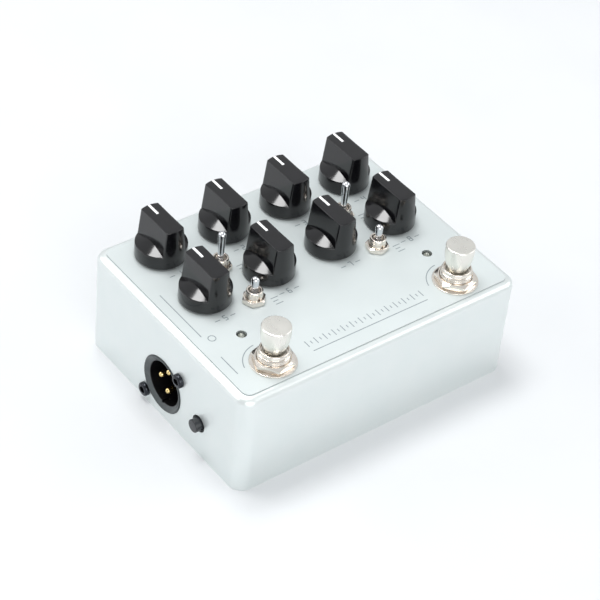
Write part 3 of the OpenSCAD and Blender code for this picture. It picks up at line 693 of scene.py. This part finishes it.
toggle_places = [(x, y, 0) for x, y in toggle_spots.values()]
make_piece("toggle_bushings_threaded", [toggle_bushing_grid()] * 4, toggle_places, NICKEL, "case",
           ["toggle_bushings"], crease=50)
toggle_nut_grids = [nut_grid(TOGGLE_NUT_FLATS, TOGGLE_NUT_T, TOGGLE_R + NUT_PLAY, math.radians(turn))
                    for turn in (TOGGLE_NUT_TURNS[key] for key in toggle_spots)]
make_piece("toggle_nuts_hexagon", toggle_nut_grids, [(x, y, PLATE_Z) for x, y in toggle_spots.values()],
           NICKEL, "case", ["toggle_nuts"], crease=20)

# %% [markdown]
# ## Footswitches
#
# The cap is a turned barrel that swells towards its flat top. Below it a collar guides the stem,
# then comes a wider thread with a keyway, a hexagon nut and a washer. They are all turned parts,
# so the same lathe function makes them, with the swelling as a formula and not as drawn points.

# %% Footswitch caps
FOOT_STEM_R = 4.3
FOOT_CAP_R = 5.45
FOOT_WAIST_Z = PLATE_Z + 7.6
FOOT_WIDE_Z = PLATE_Z + 14.8
foot_spots = [centre_mm(f"foot_button_{side}")[:2] for side in SIDES]


def foot_cap_grid():
    """Stem, then a flank r = stem + swell (1 - (1 - t)^2), then a rounded edge and a flat top."""
    top = top_mm("foot_button_left")
    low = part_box("foot_button_left")[0].z / MM
    t = np.linspace(0, 1, 20)
    flank = np.stack([FOOT_STEM_R + (FOOT_CAP_R - FOOT_STEM_R) * (1 - (1 - t) ** 2),
                      FOOT_WAIST_Z + t * (FOOT_WIDE_Z - FOOT_WAIST_Z)], 1)
    steps = 9
    edge = eased([(FOOT_CAP_R, FOOT_WIDE_Z), (FOOT_CAP_R, top, 0.6), (0, top)], steps)[steps:]
    return turned(np.concatenate([[(0, low), (FOOT_STEM_R, low)], flank, edge]), 128)


for side, spot in zip(SIDES, foot_spots):
    make_piece(f"foot_cap_{side}", [foot_cap_grid()], [(*spot, 0)], NICKEL_CAP, f"footswitch_{side}",
               [f"foot_button_{side}"], closed_rows=False)

# %% [markdown]
# The bushing has two diameters: a wide thread that comes up through the plate, and a narrower,
# smooth collar that guides the stem. A keyway runs down the thread. The washer spreads the nut's
# grip and keeps it from scratching the plate.

# %% Footswitch bushings, nuts and washers
FOOT_R = 6.0
FOOT_COLLAR_R = 5.45
FOOT_GUIDE_R = 4.36
FOOT_MOUTH_R = 4.9
FOOT_STEP_Z = PLATE_Z + 5.1
FOOT_THREAD_TOP = FOOT_STEP_Z - 0.3
FOOT_TOP = top_mm("foot_bushings")
FOOT_NUT_FLATS = 14
FOOT_WASHER_R = 8.6
FOOT_WASHER_T = top_mm("foot_washers") - PLATE_Z
FOOT_NUT_T = top_mm("foot_nuts") - PLATE_Z - FOOT_WASHER_T
FOOT_KEYWAYS = (-40, -50)
FOOT_NUT_TURNS = (38, 44)


def foot_bushing_grid(keyway_turn):
    """A 0.75 mm thread up to the step, a smooth collar with a rounded lip, a mouth and a bore."""
    angle = ring_angles(160)[None]
    height = np.linspace(ROOF_Z, FOOT_THREAD_TOP, 80)[:, None]
    cut = threaded(height, angle, 0.13, ROOF_Z, FOOT_THREAD_TOP)
    notch = keyway(angle, math.radians(keyway_turn), 1.6, FOOT_R, 0.9) * (height > PLATE_Z + 1)
    outside = FOOT_R - np.maximum(cut, notch)
    collar = eased([(FOOT_R, FOOT_THREAD_TOP), (FOOT_R - 0.3, FOOT_STEP_Z, 0.1),
                    (FOOT_COLLAR_R, FOOT_STEP_Z, 0.08), (FOOT_COLLAR_R, FOOT_TOP, 0.45),
                    (FOOT_MOUTH_R, FOOT_TOP, 0.12), (FOOT_MOUTH_R, FOOT_TOP - 1.6, 0.1),
                    (FOOT_GUIDE_R, FOOT_TOP - 1.7, 0.1), (FOOT_GUIDE_R, ROOF_Z)])[5:]
    radius = [outside, np.broadcast_to(collar[:, :1], (len(collar), angle.size))]
    heights = [np.broadcast_to(height, outside.shape),
               np.broadcast_to(collar[:, 1:], (len(collar), angle.size))]
    return carried_round(np.concatenate(radius), np.concatenate(heights), angle)


make_piece("foot_bushings_threaded", [foot_bushing_grid(turn) for turn in FOOT_KEYWAYS],
           [(*spot, 0) for spot in foot_spots], NICKEL, "case", ["foot_bushings"],
           crease=50)
make_piece("foot_nuts_hexagon",
           [nut_grid(FOOT_NUT_FLATS, FOOT_NUT_T, FOOT_R + NUT_PLAY, math.radians(turn))
            for turn in FOOT_NUT_TURNS],
           [(*spot, PLATE_Z + FOOT_WASHER_T) for spot in foot_spots], NICKEL, "case",
           ["foot_nuts"], crease=20)
make_piece("foot_washers_flat", [washer_grid(FOOT_WASHER_R, FOOT_R + 0.1, FOOT_WASHER_T)] * 2,
           [(*spot, PLATE_Z) for spot in foot_spots], NICKEL, "case", ["foot_washers"])

# %% [markdown]
# ## Indicator lamps
#
# Each lamp is a clear cast lens that sits flush in a drilled hole. What the eye sees in it when it
# is off is the small bright cup that holds the chip, so the cup is a piece of its own inside.

# %% Lamps
LAMP_R = 1.5
LAMP_FLANGE_R = 1.8
LAMP_CUP_R = 1.3
lamp_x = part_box("status_leds")[1].x / MM - LAMP_FLANGE_R
lamp_y = centre_mm("status_leds")[1]
lamp_places = [(side * lamp_x, lamp_y, 0) for side in (-1, 1)]


def lens_grid():
    """A flange, a straight barrel and a dome r = R cos t, z = R sin t."""
    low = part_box("status_leds")[0].z / MM
    over = np.radians(np.linspace(0, 90, 14))
    dome = np.stack([LAMP_R * np.cos(over), PLATE_Z - LAMP_R + LAMP_R * np.sin(over)], 1)
    foot = [(0, low), (LAMP_FLANGE_R, low), (LAMP_FLANGE_R, low + 1), (LAMP_R, low + 1)]
    return turned(np.concatenate([foot, dome]), 64)


def cup_grid():
    """A small cone-shaped cup: a block whose top is hollowed down to the chip."""
    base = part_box("status_leds")[0].z / MM + 0.4
    lip = PLATE_Z - 1.2
    return turned(eased([(0, base), (LAMP_CUP_R, base), (LAMP_CUP_R, lip, 0.05), (1.15, lip, 0.05),
                         (0.3, lip - 0.8), (0, lip - 0.8)]), 48)


make_piece("status_lenses", [lens_grid()] * 2, lamp_places, LENS, "case", ["status_leds"],
           closed_rows=False)
make_piece("lamp_cups", [cup_grid()] * 2, lamp_places, TIN, "case", closed_rows=False)

# %% [markdown]
# ## Left wall: pins, cap screws and push button
#
# These are small but easy to see, so they get domed ends, eased rims and a real hexagon socket.
# They are made upright and then turned to point out of the left wall, along -X.

# %% Contacts, cap screws and button
PIN_R = 1.2
PIN_CIRCLE = 4.6
PIN_ANGLES = (0, 90, -90)
SCREW_OFFSET = 10.2
CAP_R = 2.75
CAP_H = 1.7
CAP_HEX_FLATS = 2.5
CAP_HEX_DEPTH = 1.2
SCREW_THREAD_R = 1.25
SCREW_THREAD_L = 11
BUTTON_R = 2.6
BUTTON_STEM_R = 1.4
BUTTON_STEM_L = 3.8


def pin_grid():
    """A straight contact with a domed end."""
    low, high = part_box("xlr_pins")
    length = (high.x - low.x) / MM
    over = np.radians(np.linspace(0, 90, 10))
    dome = np.stack([PIN_R * np.cos(over), length - PIN_R + PIN_R * np.sin(over)], 1)
    return turned(np.concatenate([[(0, 0), (PIN_R, 0)], dome]), 48)


def cap_screw_grid():
    """A thread, a head with an eased rim, and in its face a hexagon hole whose radius is half its
    flats over the cosine of the angle from the nearest flat."""
    angle = ring_angles(96)[None]
    from_flat = (angle + np.pi / 6) % (np.pi / 3) - np.pi / 6
    socket = CAP_HEX_FLATS / 2 / np.cos(from_flat)
    head = eased([(0, -SCREW_THREAD_L), (SCREW_THREAD_R, -SCREW_THREAD_L), (SCREW_THREAD_R, 0),
                  (CAP_R, 0), (CAP_R, CAP_H, 0.95), (1.6, CAP_H)])[2:]
    wide = np.broadcast_to
    radius = [wide(head[:, :1], (len(head), 96)), socket + 0.15, socket, socket, wide(0.0, (1, 96))]
    rows = [CAP_H, CAP_H - 0.15, CAP_H - CAP_HEX_DEPTH + 0.1, CAP_H - CAP_HEX_DEPTH]
    height = [wide(head[:, 1:], (len(head), 96))] + [wide(row, (1, 96)) for row in rows]
    return carried_round(np.concatenate(radius), np.concatenate(height), angle)


pin_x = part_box("xlr_pins")[1].x / MM
pin_places = [(pin_x, PIN_CIRCLE * math.cos(a), SOCKET_Z + PIN_CIRCLE * math.sin(a))
              for a in np.radians(PIN_ANGLES)]
make_piece("xlr_contacts", [pin_grid()] * 3, pin_places, GOLD, "case", ["xlr_pins"],
           "-x", closed_rows=False)
make_piece("xlr_cap_screws", [cap_screw_grid()] * 2,
           [(LEFT_X, s * SCREW_OFFSET, SOCKET_Z - s * SCREW_OFFSET) for s in (-1, 1)],
           BLACK_SCREW, "case", ["xlr_screws"], "-x", closed_rows=False)


def button_grid():
    """A straight plunger with a softly rounded face, and its thin stem behind."""
    low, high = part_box("side_button")
    length = (high.x - low.x) / MM
    profile = eased([(0, 0), (BUTTON_STEM_R, 0), (BUTTON_STEM_R, BUTTON_STEM_L),
                     (BUTTON_R, BUTTON_STEM_L), (BUTTON_R, length, 0.45), (0, length)], 8)
    return turned(profile, 64)


button_spot = centre_mm("side_button")
make_piece("push_button_plunger", [button_grid()],
           [(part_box("side_button")[1].x / MM, button_spot[1], button_spot[2])], BUTTON_BLACK,
           "push_button", ["side_button"], "-x", closed_rows=False)

# %% [markdown]
# ## Printed marks
#
# The words of a real panel are left out. Plain numbers from 1 to 8 name the knobs, three short
# bars stand for the three lever positions, arcs frame the footswitches, and a row of ruled ticks
# fills the strip between them. Every mark is a chain of strokes, printed 0.03 mm high.

# %% Strokes
INK_T = 0.03
STROKE = 0.36
DIGIT_HEIGHT = 2.4


def stroke_grid(points):
    """A ribbon along a chain of points in the plate's plane: each side lies half a stroke's width
    along the normal. Two levels, above and below, and a cap on each end close it."""
    line = np.array(points, float)
    ahead = np.gradient(line, axis=0)
    ahead /= np.linalg.norm(ahead, axis=1, keepdims=True)
    normal = np.stack([-ahead[:, 1], ahead[:, 0]], 1) * STROKE / 2
    left, right = line + normal, line - normal
    level = [np.column_stack([edge, np.full(len(line), z)]) for z in (INK_T, -INK_T)
             for edge in ((left, right) if z > 0 else (right, left))]
    return capped(np.stack(level, 1))


def arc_points(centre, radius, start, end, count=24):
    """Points on a circle between two angles in degrees."""
    a = np.radians(np.linspace(start, end, count))
    return np.stack([centre[0] + radius * np.cos(a), centre[1] + radius * np.sin(a)], 1)


DIGIT_BARS = {"top": ((0, 2), (1, 2)), "mid": ((0, 1), (1, 1)), "low": ((0, 0), (1, 0)),
              "ul": ((0, 1), (0, 2)), "ur": ((1, 1), (1, 2)),
              "ll": ((0, 0), (0, 1)), "lr": ((1, 0), (1, 1))}
DIGITS = {1: "ur lr", 2: "top ur mid ll low", 3: "top ur mid lr low", 4: "ul mid ur lr",
          5: "top ul mid lr low", 6: "top ul mid ll lr low", 7: "top ur lr",
          8: "top mid low ul ur ll lr"}


def digit_strokes(number, x, y):
    """The bars of a number, as on a counter, with its middle at x, y."""
    half = DIGIT_HEIGHT / 2
    return [[(x + (u - 0.5) * half, y + (v - 1) * half) for u, v in DIGIT_BARS[bar]]
            for bar in DIGITS[number].split()]


print("strokes are", STROKE, "mm wide and", INK_T, "mm high")

# %% [markdown]
# Screen printing lays one even coat of ink through a stencil, so every mark has the same height and
# the same stroke. The marks could be a painted image, but raised strokes stay sharp at any distance.
# They are one piece, because they are one print.

# %% Every mark on the faceplate
NUMBER_BELOW_KNOB = 12.6
BARS_RIGHT_OF_LEVER = 5.6
BARS_BELOW_LEVER = 2.6
BAR_SPACING = 1.7
BAR_LENGTHS = (3.2, 2.2, 3.2)
FOOT_ARC_R = 10.6
RULER_HALF = 26
RULER_TICKS = 27
LONG_TICK = 1.6
SHORT_TICK = 0.7

marks = []
for number, (row, i) in enumerate([(row, i) for row in ROWS for i in range(1, 5)], 1):
    x, y = centre_mm(f"knob_{row}_{i}")[:2]
    y -= NUMBER_BELOW_KNOB
    marks += digit_strokes(number, x, y)
    marks += [[(x + s * 2.2, y), (x + s * 4.4, y)] for s in (-1, 1)]
for x, y in toggle_spots.values():
    for k, length in enumerate(BAR_LENGTHS):
        bar_x = x + BARS_RIGHT_OF_LEVER
        bar_y = y - BARS_BELOW_LEVER - BAR_SPACING * k
        marks += [[(bar_x, bar_y), (bar_x + length, bar_y)]]
for x, y in foot_spots:
    marks += [arc_points((x, y), FOOT_ARC_R, 95, 165)]
line_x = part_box("faceplate")[0].x / MM + 4
marks += [[(line_x, 14), (line_x, -12)], [(line_x, -24), (line_x, -34)]]
marks += [arc_points((line_x + 2.8, -14.5), 1.4, 0, 360, 33)]
ruler_y = foot_spots[0][1] + 1.0
for k, x in enumerate(np.linspace(-RULER_HALF, RULER_HALF, RULER_TICKS)):
    reach = LONG_TICK if k % 2 == 0 else SHORT_TICK
    marks += [[(x, ruler_y - reach), (x, ruler_y + reach)]]
marks += [[(-RULER_HALF, ruler_y - 4), (RULER_HALF, ruler_y - 4)]]
make_piece("printed_marks", [stroke_grid(m) for m in marks], [(0, 0, PLATE_Z)] * len(marks),
           PRINT_INK, "case", closed_rows=False)

# %% [markdown]
# ## Floor, light and camera
#
# A white sweep under a large overhead softbox gives the even, bright look of a catalogue picture.
# The world is a plain grey, nearly the same all round and a touch brighter behind the object. Black
# gloss and chrome show nothing but the room, so an even room keeps them clean, and each lamp gives
# them one clear highlight.

# %% Floor
def floor_paint():
    """Matt white painted board, with the faintest roller texture."""
    material, tree, shader, place = start_material("board_white_matt_paint", IOR=1.45)
    vary(tree, shader, place, ("#d3d5d7", "#d5d7d9"), 60, (0.6, 0.7), 2, 0.02)
    return material


FLOOR_HALF = 3.0
floor_mesh = bpy.data.meshes.new("floor")
floor_corners = [(-FLOOR_HALF, -FLOOR_HALF, 0), (FLOOR_HALF, -FLOOR_HALF, 0),
                 (FLOOR_HALF, FLOOR_HALF, 0), (-FLOOR_HALF, FLOOR_HALF, 0)]
floor_mesh.from_pydata(floor_corners, [], [(0, 1, 2, 3)])
floor_mesh.materials.append(floor_paint())
floor = bpy.data.objects.new("floor", floor_mesh)
floor.location.z = cad_low.z
bpy.context.scene.collection.objects.link(floor)
print("floor", 2 * FLOOR_HALF, "m square")

# %% [markdown]
# The overhead softbox stands a little behind the object, and its mirror image is the bright wedge on
# each knob's cone. The front, right and left softboxes are larger and dimmer, and lift the walls.

# %% Lights
def soft_light(name, place, aim, size, radiance):
    """A rectangular area light. A flat lamp of area A that glows with radiance L gives pi A L watts."""
    light = bpy.data.lights.new(name, "AREA")
    light.shape = "RECTANGLE"
    light.size, light.size_y = size
    light.energy = math.pi * size[0] * size[1] * radiance
    lamp = bpy.data.objects.new(name, light)
    lamp.location = place
    lamp.rotation_mode = "QUATERNION"
    lamp.rotation_quaternion = (Vector(aim) - Vector(place)).to_track_quat("-Z", "Y")
    bpy.context.scene.collection.objects.link(lamp)
    print(f"{name}: {light.energy:.1f} W")


soft_light("overhead_softbox", (-0.06, 0.23, 0.97), (0, 0, 0), (0.46, 0.28), 13.5)
soft_light("front_softbox", (-0.5, -1.3, 0.6), (0, 0, 0.02), (1.2, 0.8), 3.3)
soft_light("right_softbox", (1.2, -0.7, 0.9), (0, 0, 0.02), (1.0, 0.8), 2.0)
soft_light("left_softbox", (-0.95, 0.85, 0.75), (0, 0, 0.02), (0.9, 0.7), 2.5)


def surroundings():
    """A plain room, a little brighter at the back. The direction's share along a horizontal heading
    goes from -1 to 1, and its middle stretch is mapped to the two brightnesses."""
    world = bpy.data.worlds.new("studio")
    bpy.context.scene.world = world
    world.use_nodes = True
    tree = world.node_tree
    heading = (0.66, 0.75, 0.0)
    towards = add_node(tree, "ShaderNodeTexCoord").outputs["Generated"]
    share = add_node(tree, "ShaderNodeVectorMath", {0: towards, 1: heading}, operation="DOT_PRODUCT")
    level = add_node(tree, "ShaderNodeMapRange", {
        "Value": share.outputs["Value"], "From Min": -0.6, "From Max": 0.6,
        "To Min": 0.66, "To Max": 0.74})
    background = tree.nodes["Background"]
    background.inputs["Color"].default_value = colour("#fbfdff")
    tree.links.new(level.outputs["Result"], background.inputs["Strength"])


surroundings()

# %% [markdown]
# A long lens from well back keeps the box's edges nearly parallel, as catalogue pictures do. The
# camera looks down at the front left corner and is rolled by a few degrees.

# %% Camera
CAMERA_PLACE = Vector((-379.33, -434.82, 528.11)) * MM
CAMERA_AIM = Vector((2.66, 4.73, 22.0)) * MM
CAMERA_ROLL = math.radians(6.27)
camera_data = bpy.data.cameras.new("camera")
camera_data.lens = 123.2
camera_data.sensor_width = 36
camera_data.clip_start = 0.01
camera = bpy.data.objects.new("camera", camera_data)
camera.location = CAMERA_PLACE
aim = (CAMERA_AIM - CAMERA_PLACE).to_track_quat("-Z", "Y").to_matrix()
camera.rotation_mode = "QUATERNION"
camera.rotation_quaternion = (aim @ Matrix.Rotation(CAMERA_ROLL, 3, "Z")).to_quaternion()
bpy.context.scene.collection.objects.link(camera)
bpy.context.scene.camera = camera
bpy.context.scene.view_settings.view_transform = "Standard"
print("camera", round((CAMERA_AIM - CAMERA_PLACE).length / MM), "mm from what it looks at")
